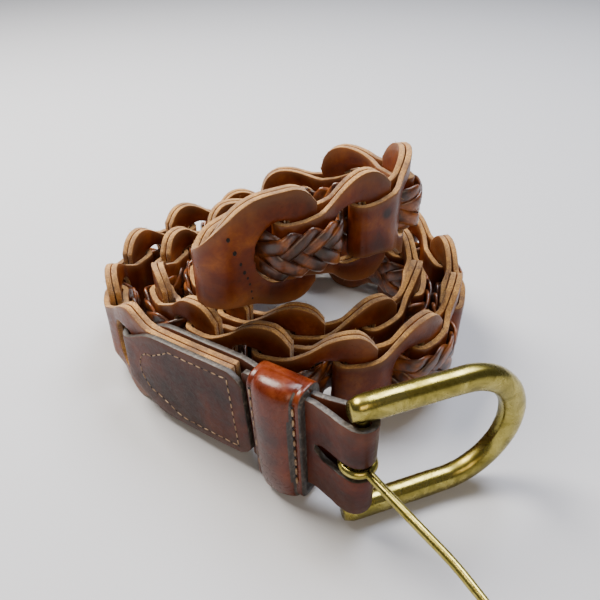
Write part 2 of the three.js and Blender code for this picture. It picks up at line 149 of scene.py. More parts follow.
def measure_route():
    """Samples the middle line against length from the heel bar."""
    rows = np.array([(x, y, lift) for x, y, lift in ROUTE], float) * MM
    rows[:, 2] += LINK_HEIGHT / 2
    ends = np.vstack([2 * rows[0] - rows[1], rows, 2 * rows[-1] - rows[-2]])
    points = []
    for k in range(len(rows) - 1):
        a, b, c, d = ends[k:k + 4]
        for t in np.arange(STEPS_PER_ROW) / STEPS_PER_ROW:
            cubic = (-a + 3 * b - 3 * c + d) * t ** 3
            points.append(0.5 * (2 * b + (c - a) * t + (2 * a - 5 * b + 4 * c - d) * t ** 2 + cubic))
    points = np.array(points + [rows[-1]])
    along = np.concatenate([[0], np.cumsum(np.linalg.norm(np.diff(points, axis=0), axis=1))])
    along -= along[HEEL_ROW * STEPS_PER_ROW]
    return along, points


ALONG, MIDDLE = measure_route()


def on_route(length):
    """Points on the middle line at lengths along the belt."""
    return np.stack([np.interp(length, ALONG, MIDDLE[:, k]) for k in range(3)], axis=-1)


def route_axes(length):
    """The tangent, outward and up directions at lengths along the belt."""
    reach = 1.5 * MM
    tangent = on_route(length + reach) - on_route(length - reach)
    tangent /= np.linalg.norm(tangent, axis=-1, keepdims=True)
    outward = np.cross(np.array([0.0, 0.0, 1.0]), tangent)
    outward /= np.linalg.norm(outward, axis=-1, keepdims=True)
    return tangent, outward, np.cross(tangent, outward)


def on_belt(length, out, height):
    """Places points given as length along the belt, distance outward and height."""
    length, out, height = np.broadcast_arrays(*np.atleast_1d(length, out, height))
    _, outward, up = route_axes(length)
    return on_route(length) + outward * out[:, None] + up * height[:, None] + np.array(SHIFT)


# Materials


def linear(colour):
    """An sRGB hex value as linear red, green, blue and alpha."""
    parts = [int(colour[k:k + 2], 16) / 255 for k in (0, 2, 4)]
    return [p / 12.92 if p <= 0.04045 else ((p + 0.055) / 1.055) ** 2.4 for p in parts] + [1.0]


def add_node(tree, kind, settings=None, links=None):
    """Adds a node, sets its inputs or properties by name, and links its inputs from other sockets."""
    made = tree.nodes.new(kind)
    for key, value in (settings or {}).items():
        if isinstance(key, str) and hasattr(made, key):
            setattr(made, key, value)
        else:
            made.inputs[key].default_value = value
    for key, socket in (links or {}).items():
        tree.links.new(socket, made.inputs[key])
    return made


def start_material(name, roughness, metallic=0.0, **sockets):
    """A new material with its tree, its surface node and the object's coordinates."""
    material = bpy.data.materials.new(name)
    material.use_nodes = True
    tree = material.node_tree
    surface = tree.nodes["Principled BSDF"]
    surface.inputs["Roughness"].default_value = roughness
    surface.inputs["Metallic"].default_value = metallic
    for key, value in sockets.items():
        surface.inputs[key.replace("_", " ")].default_value = value
    place = add_node(tree, "ShaderNodeTexCoord").outputs["Object"]
    return material, tree, surface, place


def noise(tree, place, spacing, detail=4.0, rough=0.55, distort=0.0):
    """Noise whose blotches are about the given size in metres."""
    return add_node(tree, "ShaderNodeTexNoise", {"Scale": 1 / spacing, "Detail": detail, "Roughness": rough,
                                                "Distortion": distort}, {"Vector": place}).outputs["Fac"]


def ramp(tree, socket, stops):
    """A colour ramp from places and sRGB hex colours."""
    made = add_node(tree, "ShaderNodeValToRGB", {}, {"Fac": socket})
    band = made.color_ramp
    while len(band.elements) < len(stops):
        band.elements.new(0.5)
    for element, (position, colour) in zip(band.elements, stops):
        element.position = position
        element.color = linear(colour)
    return made.outputs["Color"]


def mix(tree, share, first, second, blend="MIX"):
    """Mixes two colours by a share, which is a number or a socket."""
    made = add_node(tree, "ShaderNodeMix", {"data_type": "RGBA", "blend_type": blend})
    for index, value in ((0, share), (6, first), (7, second)):
        if hasattr(value, "is_linked"):
            tree.links.new(value, made.inputs[index])
        else:
            made.inputs[index].default_value = value
    return made.outputs[2]


def bump(tree, surface, layers):
    """Chains bumps of (height socket, depth in metres, strength) into the surface's normal."""
    normal = None
    for height, depth, strength in layers:
        links = {"Height": height}
        if normal:
            links["Normal"] = normal
        made = add_node(tree, "ShaderNodeBump", {"Distance": depth, "Strength": strength}, links)
        normal = made.outputs["Normal"]
    tree.links.new(normal, surface.inputs["Normal"])


def remap(tree, socket, ranges):
    """Maps a value from one range onto another."""
    return add_node(tree, "ShaderNodeMapRange", ranges, {"Value": socket}).outputs["Result"]


def paint(tree, surface, colour):
    """Links a colour socket to the surface."""
    tree.links.new(colour, surface.inputs["Base Color"])


def grain_leather(name, stops, roughness, crease=0.9, coat=0.1, worn="8f6c48", stain_spot=None):
    """Vegetable-tanned leather, dyed and waxed: soft blotches of dye, fine pores, and rims mixed towards a
    paler colour that is partly burnished wear and partly a painted sheen.
    """
    material, tree, surface, place = start_material(name, roughness, Coat_Weight=coat, Coat_Roughness=0.28,
                                                    Specular_IOR_Level=0.2)
    blotch = noise(tree, place, 11 * MM, 3, 0.6, 0.4)
    streak = noise(tree, place, 2.4 * MM, 5, 0.7, 1.2)
    colour = ramp(tree, blotch, stops)
    shade = ramp(tree, streak, [(0.25, "7d6350"), (0.5, "d2c2b2"), (0.72, "ffffff")])
    tone = ramp(tree, noise(tree, place, 30 * MM, 2, 0.5, 0.6), [(0.35, "a8988c"), (0.6, "ffffff")])
    dyed = mix(tree, 0.8, mix(tree, 0.55, colour, shade, "MULTIPLY"), tone, "MULTIPLY")
    if stain_spot:
        away = add_node(tree, "ShaderNodeVectorMath", {"operation": "DISTANCE", 1: stain_spot}, {0: place})
        clear = remap(tree, away.outputs["Value"], {"From Min": 1.0 * MM, "From Max": 2.6 * MM})
        dyed = mix(tree, clear, linear("2b1a16"), dyed)
    # The rims mix towards the worn colour: partly real burnished wear, partly a painted sheen along the lit
    # edges.
    rim_wear_and_sheen = add_node(tree, "ShaderNodeAttribute", {"attribute_name": "wear_and_sheen"}).outputs["Fac"]
    rubbed_and_sheen = add_node(tree, "ShaderNodeMath", {"operation": "MULTIPLY", 1: 0.36}, {0: rim_wear_and_sheen})
    paint(tree, surface, mix(tree, rubbed_and_sheen.outputs["Value"], dyed, linear(worn)))
    pores = add_node(tree, "ShaderNodeTexVoronoi", {"Scale": 1 / (0.75 * MM)}, {"Vector": place})
    wrinkle = noise(tree, place, 1.6 * MM, 6, 0.65, 0.6)
    rough = remap(tree, streak, {"From Min": 0.3, "From Max": 0.7, "To Min": roughness - 0.12,
                                 "To Max": roughness + 0.14})
    tree.links.new(rough, surface.inputs["Roughness"])
    bump(tree, surface, [(pores.outputs["Distance"], 0.05 * MM, 0.35),
                         (wrinkle, 0.16 * MM, 0.5 * crease),
                         (blotch, 0.5 * MM, 0.25)])
    return material


def raw_edge_leather():
    """Raw cut edge of tanned hide: pale tan fibres, darker where it was handled, rough and fuzzy."""
    material, tree, surface, place = start_material("raw cut leather edge", 0.88, Sheen_Weight=0.25,
                                                    Sheen_Roughness=0.6)
    fibre = noise(tree, place, 0.5 * MM, 6, 0.75, 0.5)
    patch = noise(tree, place, 7 * MM, 3, 0.6, 0.3)
    pale = ramp(tree, fibre, [(0.3, "53340f"), (0.47, "9a6a26"), (0.66, "cd9c4c")])
    dark = ramp(tree, fibre, [(0.3, "371e08"), (0.55, "714a1a"), (0.75, "9b7234")])
    worn = remap(tree, patch, {"From Min": 0.42, "From Max": 0.66})
    paint(tree, surface, mix(tree, worn, pale, dark))
    bump(tree, surface, [(fibre, 0.35 * MM, 0.9), (patch, 0.4 * MM, 0.3)])
    return material


def painted_edge():
    """Strap edges dressed with black-grey edge ink, rubbed pale in places."""
    material, tree, surface, place = start_material("inked strap edge", 0.5)
    rub = noise(tree, place, 1.8 * MM, 5, 0.7, 0.6)
    paint(tree, surface, ramp(tree, rub, [(0.3, "171412"), (0.52, "2f2a27"), (0.7, "625a50")]))
    bump(tree, surface, [(rub, 0.22 * MM, 0.6)])
    return material


def lace_leather():
    """Narrow calf laces dyed dark brown; the folds catch light."""
    material, tree, surface, place = start_material("dark lace leather", 0.36, Coat_Weight=0.25,
                                                    Coat_Roughness=0.25)
    tone = noise(tree, place, 6 * MM, 3, 0.6, 0.5)
    fine = noise(tree, place, 0.9 * MM, 5, 0.7, 0.3)
    colour = ramp(tree, tone, [(0.3, "241209"), (0.45, "482512"), (0.57, "7a4117"), (0.72, "9c5d22")])
    shade = ramp(tree, fine, [(0.3, "8c8078"), (0.65, "ffffff")])
    paint(tree, surface, mix(tree, 0.6, colour, shade, "MULTIPLY"))
    bump(tree, surface, [(fine, 0.14 * MM, 0.6)])
    return material


def cast_brass():
    """Solid cast brass, tumbled and worn: greenish gold with soft tarnish, pits and small dents."""
    material, tree, surface, place = start_material("worn cast brass", 0.26, 1.0)
    tarnish = noise(tree, place, 6 * MM, 5, 0.65, 0.8)
    speck = noise(tree, place, 0.7 * MM, 4, 0.7)
    colour = ramp(tree, tarnish, [(0.3, "706528"), (0.5, "998c45"), (0.72, "bcae62")])
    spots = ramp(tree, speck, [(0.3, "7a6c4c"), (0.42, "ffffff")])
    paint(tree, surface, mix(tree, 0.7, colour, spots, "MULTIPLY"))
    rough = remap(tree, tarnish, {"From Min": 0.3, "From Max": 0.72, "To Min": 0.34, "To Max": 0.2})
    tree.links.new(rough, surface.inputs["Roughness"])
    stretched = add_node(tree, "ShaderNodeMapping", {"Scale": (1.0, 1.0, 7.0)}, {"Vector": place})
    scratch = noise(tree, stretched.outputs["Vector"], 1.4 * MM, 5, 0.75)
    bump(tree, surface, [(tarnish, 0.3 * MM, 0.22), (speck, 0.04 * MM, 0.35), (scratch, 0.03 * MM, 0.3)])
    return material


def waxed_thread():
    """Waxed linen thread, cream going brown where leather dye has rubbed into it."""
    material, tree, surface, place = start_material("waxed linen thread", 0.7)
    stain = noise(tree, place, 5 * MM, 3, 0.6)
    twist = add_node(tree, "ShaderNodeTexWave", {"Scale": 1 / (4 * MM), "Distortion": 1.0}, {"Vector": place})
    paint(tree, surface, ramp(tree, stain, [(0.35, "553a27"), (0.55, "94795a"), (0.75, "bfa681")]))
    bump(tree, surface, [(twist.outputs["Fac"], 0.1 * MM, 0.5)])
    return material


def plain_material(name, colour, roughness):
    """One even colour."""
    material, _, surface, _ = start_material(name, roughness)
    surface.inputs["Base Color"].default_value = linear(colour)
    return material


LINK_BROWNS = [(0.3, "511e05"), (0.5, "6c2d06"), (0.7, "8c4a0d")]
STRAP_BROWNS = [(0.3, "300f06"), (0.5, "4b1b0c"), (0.7, "652e16")]
KEEPER_BROWNS = [(0.3, "3f150a"), (0.5, "62240b"), (0.72, "7c3a15")]
FLESH_BROWNS = [(0.3, "4a1e08"), (0.5, "7a380d"), (0.7, "9c5517")]
STAINED_NECK = STRAP_LENGTH + (LINK_COUNT - 1) * LINK_PITCH - 6.5 * MM
STAIN = tuple(on_belt(STAINED_NECK, CLASP + PLY, 4.5 * MM)[0])
# Each leather's worn colour lightens its rims: burnished wear together with a painted sheen.
LINK_GRAIN = grain_leather("waxed brown link leather", LINK_BROWNS, 0.38, stain_spot=STAIN)
STRAP_GRAIN = grain_leather("smooth dark strap leather", STRAP_BROWNS, 0.46, 0.7, 0.05, "5c4234")
KEEPER_GRAIN = grain_leather("polished chestnut leather", KEEPER_BROWNS, 0.3, 0.35, 0.28)
FLESH = grain_leather("brushed flesh side", FLESH_BROWNS, 0.62, 1.0, 0.0)
RAW_EDGE = raw_edge_leather()
INKED_EDGE = painted_edge()
LACE = lace_leather()
BRASS = cast_brass()
THREAD = waxed_thread()
HOLE_DARK = plain_material("shadowed stitch hole", "140c08", 0.9)


# Shapes


def finish_piece(bm, name, materials, body, replaced=()):
    """Turns a bmesh into a named piece that rides on a body."""
    bmesh.ops.recalc_face_normals(bm, faces=bm.faces)
    mesh = bpy.data.meshes.new(name)
    bm.to_mesh(mesh)
    bm.free()
    piece = bpy.data.objects.new(name, mesh)
    bpy.context.scene.collection.objects.link(piece)
    for material in materials:
        mesh.materials.append(material)
    mesh.polygons.foreach_set("use_smooth", [True] * len(mesh.polygons))
    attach(piece, body)
    if replaced:
        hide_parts(*replaced)
    return piece


def moved(bm, place):
    """Moves each vertex of a bmesh to place(x, y, z), worked out for all of them at once."""
    flat = np.array([v.co for v in bm.verts])
    for vert, spot in zip(bm.verts, place(flat[:, 0], flat[:, 1], flat[:, 2])):
        vert.co = spot


def join(parts):
    """Puts several shapes, in order, into one."""
    joined = bmesh.new()
    for bm in parts:
        bmesh.ops.recalc_face_normals(bm, faces=bm.faces)
        scratch = bpy.data.meshes.new("part")
        bm.to_mesh(scratch)
        bm.free()
        joined.from_mesh(scratch)
        bpy.data.meshes.remove(scratch)
    return joined


def soft_steps(x, xs, ys, spread):
    """A table read with its corners eased over a spread."""
    return sum(np.interp(x + d * spread, xs, ys) for d in (-1, -0.5, 0, 0.5, 1)) / 5


def cut_pattern(along, shares, height_at, is_cut, thickness):
    """A flat leather pattern lying in x and y, as thick as given in z, with softened rims."""
    bm = bmesh.new()
    columns, lines = len(along) - 1, len(shares) - 1
    bmesh.ops.create_grid(bm, x_segments=columns, y_segments=lines, size=0.5)
    wear_and_sheen = bm.verts.layers.float.new("wear_and_sheen")
    for vert in bm.verts:
        i = round((vert.co.x + 0.5) * columns)
        j = round((vert.co.y + 0.5) * lines)
        vert.co = (along[i], height_at(i, shares[j]), 0)
        # The rim attribute rises to 1 at the outline and drives the paler rim colour: part burnished wear,
        # part painted sheen.
        vert[wear_and_sheen] = max(0.0, (abs(shares[j]) - 0.7) / 0.3) ** 1.5
    middles = {}
    for face in bm.faces:
        middle = face.calc_center_median()
        middles[face] = int(np.searchsorted(along, middle.x)) - 1
    gone = [face for face, i in middles.items() if is_cut(i, face.calc_center_median().y)]
    bmesh.ops.delete(bm, geom=gone, context="FACES")
    bmesh.ops.solidify(bm, geom=bm.faces[:], thickness=thickness)
    bmesh.ops.recalc_face_normals(bm, faces=bm.faces)
    rims = [e for e in bm.edges if len(e.link_faces) == 2 and e.calc_face_angle(0) > 1.0]
    bmesh.ops.bevel(bm, geom=rims, offset=EDGE_ROUND, offset_type="OFFSET", segments=2, profile=0.5,
                    affect="EDGES", clamp_overlap=True, material=-1)
    depth = [v.co.z for v in bm.verts]
    base = min(depth)
    for vert in bm.verts:
        vert.co.z -= base
    bm.normal_update()
    for face in bm.faces:
        up = face.normal.z
        face.material_index = 0 if up > 0.8 else (2 if up < -0.8 else 1)
    return bm


def bend_path(rows):
    """A path in length and distance outward, from rows of (length, out, normal length, normal out)."""
    rows = np.array(rows, float)
    steps = np.linalg.norm(np.diff(rows[:, :2], axis=0), axis=1)
    return np.concatenate([[0], np.cumsum(steps)]), rows


def bend(bm, path, wobble=0.0, seed=0.0):
    """Bends a flat pattern round its path and lays it on the belt."""
    along, rows = path

    def place(x, y, z):
        length, out, normal_length, normal_out = (np.interp(x, along, rows[:, k]) for k in range(4))
        size = np.hypot(normal_length, normal_out)
        ripple = wobble * np.sin(y / (7 * MM) + seed) * np.sin(x / (9 * MM) + 2 * seed)
        return on_belt(length + z * normal_length / size, out + z * normal_out / size + ripple, y)

    moved(bm, place)


def spread_shares(rail, middle):
    """Shares across a link: rails outside plus or minus one half, the middle between them."""
    inner = np.linspace(-0.5, 0.5, middle + 1)
    outer = np.linspace(0.5, 1.0, rail + 1)[1:]
    return np.concatenate([-outer[::-1], inner, outer])


LINK_AT = np.array([0, 2.4, 4.8, 7.2, 9.3, 11, 12.8, 14.5, 14.9, 15.6, 16.7, 18.2, 20, 22, 24, 25.6,
                    27.4, 29.2, 30.8, 32.2, 33.3, 34.1, 34.6]) * MM
FOLD_TURNS = np.radians([-67.5, -45, -22.5, 0, 22.5, 45, 67.5])
LINK_SHARES = spread_shares(4, 4)


def link_half(u, seed):
    """Half the height of a link's outline, at a distance from its fold."""
    table = np.array([(0, 9), (5, 9.2), (9.5, 10.1), (14.5, 12.4), (17, 14.6), (20, 17), (23, 18.5), (26, 19),
                      (29, 18.8), (31.5, 17.4), (33.3, 15.4), (34.2, 13.9), (34.6, 12.8)]) * MM
    hand_cut = 0.18 * MM * np.sin(u / (2.1 * MM) + 5 * seed) * np.sin(u / (5.3 * MM) + seed)
    return np.minimum(soft_steps(u, table[:, 0], table[:, 1], 1.1 * MM) + hand_cut, LINK_HEIGHT / 2)


def opening_half(u):
    """Half the height of the oval opening."""
    table = np.array([(0, 5), (13, 4.6), (14.5, 4.8), (14.9, 6.2), (15.6, 7.6), (16.7, 8.9), (18.2, 9.7),
                      (20, 10.2), (22, 10.2), (24, 10), (25.6, 9.6), (30, 8.6), (34.6, 7)]) * MM
    return np.interp(u, table[:, 0], table[:, 1])


def clasp_out(u):
    """How far the inner face of a ply stands from the middle line."""
    table = np.array([(0, 1), (9.5, 1), (12, 0.5), (14.5, 0.03), (16, 0), (40, 0)])
    return CLOSED + (CLASP - CLOSED) * soft_steps(u, table[:, 0] * MM, table[:, 1], 0.8 * MM)


CHANCE = np.random.default_rng(11)
FIBRE_ROOTS = []


def note_fibres(bm):
    """Picks spots on the raw edges where loose fibres stand out."""
    bmesh.ops.recalc_face_normals(bm, faces=bm.faces)
    for face in bm.faces:
        if face.material_index == 1 and CHANCE.random() < 0.22:
            FIBRE_ROOTS.append((face.calc_center_median(), face.normal.copy()))


def make_fibres():
    """Fine loose fibres of the hide, standing out of the raw edges."""
    bm = bmesh.new()
    for root, normal in FIBRE_ROOTS:
        lean = Vector(CHANCE.normal(size=3)) * 0.7
        ahead = (normal + lean).normalized()
        side = ahead.orthogonal().normalized()
        other = ahead.cross(side)
        length = CHANCE.uniform(0.4, 1.5) * MM
        middle = root + ahead * length * 0.5
        tip = bm.verts.new(root + ahead * length + Vector(CHANCE.normal(size=3)) * length * 0.25)
        rings = []
        for centre, radius in ((root - ahead * 0.1 * MM, 0.07 * MM), (middle, 0.055 * MM)):
            rings.append([])
            for turn in (0, math.tau / 3, 2 * math.tau / 3):
                spoke = side * math.cos(turn) + other * math.sin(turn)
                rings[-1].append(bm.verts.new(centre + spoke * radius))
        for k in range(3):
            nxt = (k + 1) % 3
            bm.faces.new((rings[0][k], rings[0][nxt], rings[1][nxt], rings[1][k]))
            bm.faces.new((rings[1][k], rings[1][nxt], tip))
        bm.faces.new(rings[0][::-1])
    finish_piece(bm, "loose_edge_fibres", [RAW_EDGE], "belt", ())


def make_link(number):
    """A folded link: two plies joined by a fold that clasps the next link's end bar."""
    fold_at = STRAP_LENGTH + number * LINK_PITCH
    reach = LINK_AT
    if number == 1:
        tail = np.linspace(LINK_PITCH, LINK_PITCH + FILLER_LENGTH, 14)[1:]
        reach = np.concatenate([LINK_AT[LINK_AT <= LINK_PITCH], tail])
    rows = [(fold_at - u, -clasp_out(u), 0, -1) for u in reach[::-1]]
    for a in FOLD_TURNS:
        rows.append((fold_at + CLASP * math.cos(a), CLASP * math.sin(a), math.cos(a), math.sin(a)))
    rows += [(fold_at - u, clasp_out(u), 0, 1) for u in reach]
    distance = np.concatenate([reach[::-1], np.zeros(len(FOLD_TURNS)), reach])
    path = bend_path(rows)
    half = link_half(distance, number)
    if number == 1:
        blend = np.clip((distance - LINK_PITCH) / (8 * MM), 0, 1)
        filler = LINK_HEIGHT / 2 + (FILLER_HEIGHT - LINK_HEIGHT) / 2 * blend
        half = np.where(distance > LINK_PITCH, filler, half)
    gap = opening_half(np.minimum(distance, LINK_PITCH + END_BAR))
    inside = distance > OPENING_START - 0.1 * MM
    cut = inside & (distance < LINK_PITCH - 0.1 * MM)
    cut_column = (cut[:-1] | cut[1:]) & inside[:-1] & inside[1:]

    def height_at(i, share):
        side = math.copysign(1, share)
        if abs(share) <= 0.5:
            return 2 * share * gap[i]
        return side * (gap[i] + (abs(share) * 2 - 1) * (half[i] - gap[i]))

    def is_cut(i, middle):
        return cut_column[i] and abs(middle) < min(gap[i], gap[i + 1])

    bm = cut_pattern(path[0], LINK_SHARES, height_at, is_cut, PLY)
    bend(bm, path, 0.12 * MM, number)
    note_fibres(bm)
    name = f"link_{number:02d}"
    finish_piece(bm, f"folded_{name}", [LINK_GRAIN, RAW_EDGE, FLESH], "belt", [name])


def braid_out(length):
    """How far outward the braid's middle runs, outside one neck and inside the next."""
    swing = CLASP + PLY + PIECE_CLEARANCE + BRAID_THICK / 2
    low = CLOSED + PLY + PIECE_CLEARANCE + BRAID_THICK / 2 + 0.2 * MM
    rows = []
    for number in range(1, LINK_COUNT + 2):
        fold_at = STRAP_LENGTH + number * LINK_PITCH
        side = 1 if (LINK_COUNT - number) % 2 == 0 else -1
        for u, out in ((OPENING_START + 1.1 * MM, low + 0.2 * MM), (OPENING_START - 1 * MM, low + 0.7 * MM),
                       (END_BAR + 0.8 * MM, swing), (END_BAR / 2, swing), (0, swing),
                       (-(CLASP + PLY) - 0.6 * MM, swing)):
            rows.append((fold_at - u, side * out))
    rows = np.array(rows)
    return soft_steps(length, rows[:, 0], rows[:, 1], 1.2 * MM)


def make_braid():
    """Five flat laces, each crossing over and under the others from side to side."""
    start = STRAP_LENGTH + LINK_PITCH - OPENING_START - 1 * MM
    end = STRAP_LENGTH + (LINK_COUNT + 1) * LINK_PITCH + CLASP + PLY + 0.6 * MM
    steps = int((end - start) / LACE_STEP)
    sweep = (BRAID_WIDTH - LACE_WIDTH) / 2
    laces = []
    for lace in range(LACES):
        bm = bmesh.new()
        bmesh.ops.create_grid(bm, x_segments=steps, y_segments=6, size=0.5)
        bmesh.ops.solidify(bm, geom=bm.faces[:], thickness=1.0)

        def place(x, y, z, lace=lace):
            length = start + (x + 0.5) * (end - start)
            thick = (z - z.min()) / max(z.max() - z.min(), 1e-9) - 0.5
            phase = (length / BRAID_REPEAT + lace / LACES) % 1.0
            rising = phase < 0.5
            across = np.where(rising, 4 * phase - 1, 3 - 4 * phase)
            eased = np.sin(across * math.pi / 2) * 0.25 + across * 0.75
            edge = np.minimum(np.abs(phase - 0.5), np.minimum(phase, 1 - phase)) * 2 * LACES
            crossing = np.cos(math.pi * ((2 * phase) % 1.0))
            weave = np.clip(2.4 * crossing, -1, 1) * np.clip(1.6 * edge, 0, 1)
            lean = np.where(rising, 1, -1) * np.clip(edge, 0, 1) * math.atan(4 * sweep / BRAID_REPEAT)
            crown = (1 - (2 * y) ** 2) * 0.12 * MM
            side = y * LACE_WIDTH
            shift = -np.sin(lean) * side
            height = eased * sweep + np.cos(lean) * side
            rounded = thick * LACE_THICK * (1 - 0.45 * np.abs(2 * y) ** 5)
            level = weave * 0.55 * LACE_THICK + rounded + np.sign(thick) * crown
            at = np.clip(length + shift, start, end)
            slope = (braid_out(at + 0.4 * MM) - braid_out(at - 0.4 * MM)) / (0.8 * MM)
            tilt = np.arctan(slope)
            return on_belt(at - np.sin(tilt) * level, braid_out(at) + np.cos(tilt) * level, height)

        moved(bm, place)
        laces.append(bm)
    stretches = [f"center_braid_{number}" for number in range(1, BRAID_STRETCHES + 1)]
    finish_piece(join(laces), "woven_laces", [LACE], "belt", stretches)


def make_strap():
    """The buckle strap: sewn tab, fold through the first link, back ply, turn round the heel bar."""
    half, neck = STRAP_HEIGHT / 2, STRAP_NECK_HEIGHT / 2
    heel = HEEL_RADIUS + HEEL_CLEARANCE
    turned = np.radians(np.arange(-75, 90, 15))
    tab_near = np.array([34, 35.6, 38.5, 46, 50, 54, 58, 62, 66, 69, 72, 75, 77.5, 80, 82, 84]) * MM
    tab_half = np.array([12, 13.9, 15.7, 16, 16, 16, 16, 16, 16, 15.8, 15.1, 13.9, 12.6, 11.2, 10, 9]) * MM
    inner = CLOSED + 0.1 * (heel - CLOSED)
    front = [(s, CLASP, 0, 1, h) for s, h in zip(tab_near, tab_half)]
    far = []
    for a in turned[::-1]:
        far.append((STRAP_LENGTH + CLASP * math.cos(a), CLASP * math.sin(a), math.cos(a), math.sin(a), neck))
    back_at = np.concatenate([tab_near[::-1], np.array([31.5, 28, 24, 20, 16, 13, 12, 9, 6, 3, 0]) * MM])
    back_half = np.concatenate([np.maximum(tab_half[::-1], 0), np.full(11, half)])
    back_half = np.where(back_at < 48 * MM, half, back_half)
    eased = soft_steps(back_at, np.array([0, 2, 6, 12, 30, 39, 90]) * MM,
                       [heel, heel, CLOSED + 0.6 * (heel - CLOSED), inner, inner, CLASP, CLASP], 1.2 * MM)
    back = [(s, -n, 0, -1, h) for s, n, h in zip(back_at, eased, back_half)]
    near = [(-heel * math.cos(a), heel * math.sin(a), -math.cos(a), math.sin(a), half) for a in turned]
    front_at = np.array([0, 3, 6, 9, 12, 13, 16, 20, 24, 28, 32, 34.3, 35]) * MM
    front_out = soft_steps(front_at, np.array([0, 2, 6, 12, 40]) * MM,
                           [heel, heel, CLOSED + 0.6 * (heel - CLOSED), inner, inner], 1.2 * MM)
    under = [(s, n, 0, 1, half) for s, n in zip(front_at, front_out)]
    under[-1] = under[-1][:4] + (half - 0.8 * MM,)
    rows = front + far + back + near + under
    path = bend_path([row[:4] for row in rows])
    tall = np.array([row[4] for row in rows])
    slot = SLOT_HEIGHT / 2
    first = len(front) + len(far) + int(np.argmin(np.abs(back_at - SLOT_END)))
    last = len(rows) - len(under) + int(np.argmin(np.abs(front_at - SLOT_END)))
    slot_half = np.full(len(rows), slot)
    slot_half[[first, last]] = 0.45 * slot
    shares = spread_shares(5, 4)

    def height_at(i, share):
        if abs(share) <= 0.5:
            return 2 * share * slot_half[i]
        return math.copysign(1, share) * (slot_half[i] + (abs(share) * 2 - 1) * (tall[i] - slot_half[i]))

    def is_cut(i, middle):
        return first <= i < last and abs(middle) < slot

    bm = cut_pattern(path[0], shares, height_at, is_cut, STRAP_PLY)
    bend(bm, path)
    materials = [STRAP_GRAIN, INKED_EDGE, STRAP_GRAIN]
    finish_piece(bm, "sewn_buckle_strap", materials, "belt", ["buckle_strap"])


def make_tip():
    """The plate with its opening and the plain pointed tip, in two plies sewn together."""
    fold_at = STRAP_LENGTH + (LINK_COUNT + 1) * LINK_PITCH
    plate_start = fold_at - OPENING_START
    turned = plate_start + PLATE_LENGTH
    end = turned + TIP_LENGTH
    near = LINK_AT[LINK_AT >= OPENING_START - 0.01 * MM][::-1]
    plate_at = np.linspace(plate_start, turned, 8)[1:]
    at = np.concatenate([fold_at - near, plate_at, np.linspace(turned, end, 44)[1:]])
    distance = fold_at - at
    half = link_half(np.maximum(distance, 0), 3.0)
    rise = np.array([(-12, 19), (-4, 18.8), (0, 18), (5, 15.7), (9, 12), (12, 8.2), (16, 3.9), (19.5, 1.2),
                     (22, 2.2), (26, 5), (31, 6.6), (37, 8.4), (44, 9), (80, 9)]) * MM
    drop = np.array([(-12, 19), (-6, 18.4), (0, 15.9), (8, 15.2), (80, 15.2)]) * MM
    since = at - plate_start
    in_lobe = distance > 26 * MM
    top = np.where(in_lobe, half, soft_steps(since, rise[:, 0], rise[:, 1], 1.5 * MM))
    bottom = np.where(in_lobe, half, soft_steps(since, drop[:, 0], drop[:, 1], 1.5 * MM))
    centre = (rise[-1, 1] - drop[-1, 1]) / 2
    left = end - at
    point = (rise[-1, 1] + drop[-1, 1]) / 2 * np.sqrt(np.minimum(1, (left + TIP_BLUNT) / TIP_POINT))
    top = np.where(left < TIP_POINT, np.minimum(top, centre + point), top)
    bottom = np.where(left < TIP_POINT, np.minimum(bottom, point - centre), bottom)
    round_end = np.array([(14.4, 1.4), (14.9, 3.6), (15.6, 5.2), (16.7, 6.9), (18.2, 8.5), (20, 9.7),
                          (22, 10.2), (24, 10), (25.6, 9.6), (30, 8.6), (34.6, 7)]) * MM
    gap = np.interp(distance, round_end[:, 0], round_end[:, 1])
    solid = at > plate_start + 0.1 * MM
    upper = np.where(solid, 0.65 * top - 0.35 * bottom, gap)
    lower = np.where(solid, 0.65 * bottom - 0.35 * top, gap)
    opening = len(near) - 1
    first = int(np.argmin(np.abs(near - LINK_PITCH)))
    plies = []
    for inner_face in (CLOSED * 0.6, -CLOSED * 0.6):
        side = math.copysign(1, inner_face)
        path = bend_path([(s, inner_face, 0, side) for s in at])

        def height_at(i, share):
            if abs(share) <= 0.5:
                return (share + 0.5) * (upper[i] + lower[i]) - lower[i]
            if share > 0:
                return upper[i] + (share * 2 - 1) * (top[i] - upper[i])
            return -lower[i] + (share * 2 + 1) * (bottom[i] - lower[i])

        def is_cut(i, middle):
            return first <= i < opening and abs(middle) < min(gap[i], gap[i + 1])

        bm = cut_pattern(path[0], LINK_SHARES, height_at, is_cut, PLY)
        bend(bm, path)
        plies.append(bm)
    materials = [LINK_GRAIN, RAW_EDGE, FLESH]
    finish_piece(join(plies), "sewn_tip_strap", materials, "belt", ["tip_strap"])


def tube(points, sides, section, closed=False):
    """A tube along points, each with its own side and up vectors; section(i, angle) gives two offsets."""
    bm = bmesh.new()
    count = len(points)
    bmesh.ops.create_grid(bm, x_segments=count - 1, y_segments=sides, size=0.5)
    for vert in bm.verts:
        i = round((vert.co.x + 0.5) * (count - 1))
        angle = 2 * math.pi * (vert.co.y + 0.5)
        middle, side, up = points[i]
        a, b = section(i, angle)
        vert.co = Vector(middle) + Vector(side) * a + Vector(up) * b
    bmesh.ops.remove_doubles(bm, verts=bm.verts, dist=1e-6)
    rims = [e for e in bm.edges if e.is_boundary]
    if rims and not closed:
        bmesh.ops.holes_fill(bm, edges=rims, sides=0)
    return bm


def turned_about_heel(bm, heading):
    """Turns a shape made at the origin to its heading, and moves it onto the heel bar."""
    matrix = Matrix.Translation(HEEL_POINT) @ Matrix.Rotation(heading, 4, "Z")
    bmesh.ops.transform(bm, matrix=matrix, verts=bm.verts)
    return bm


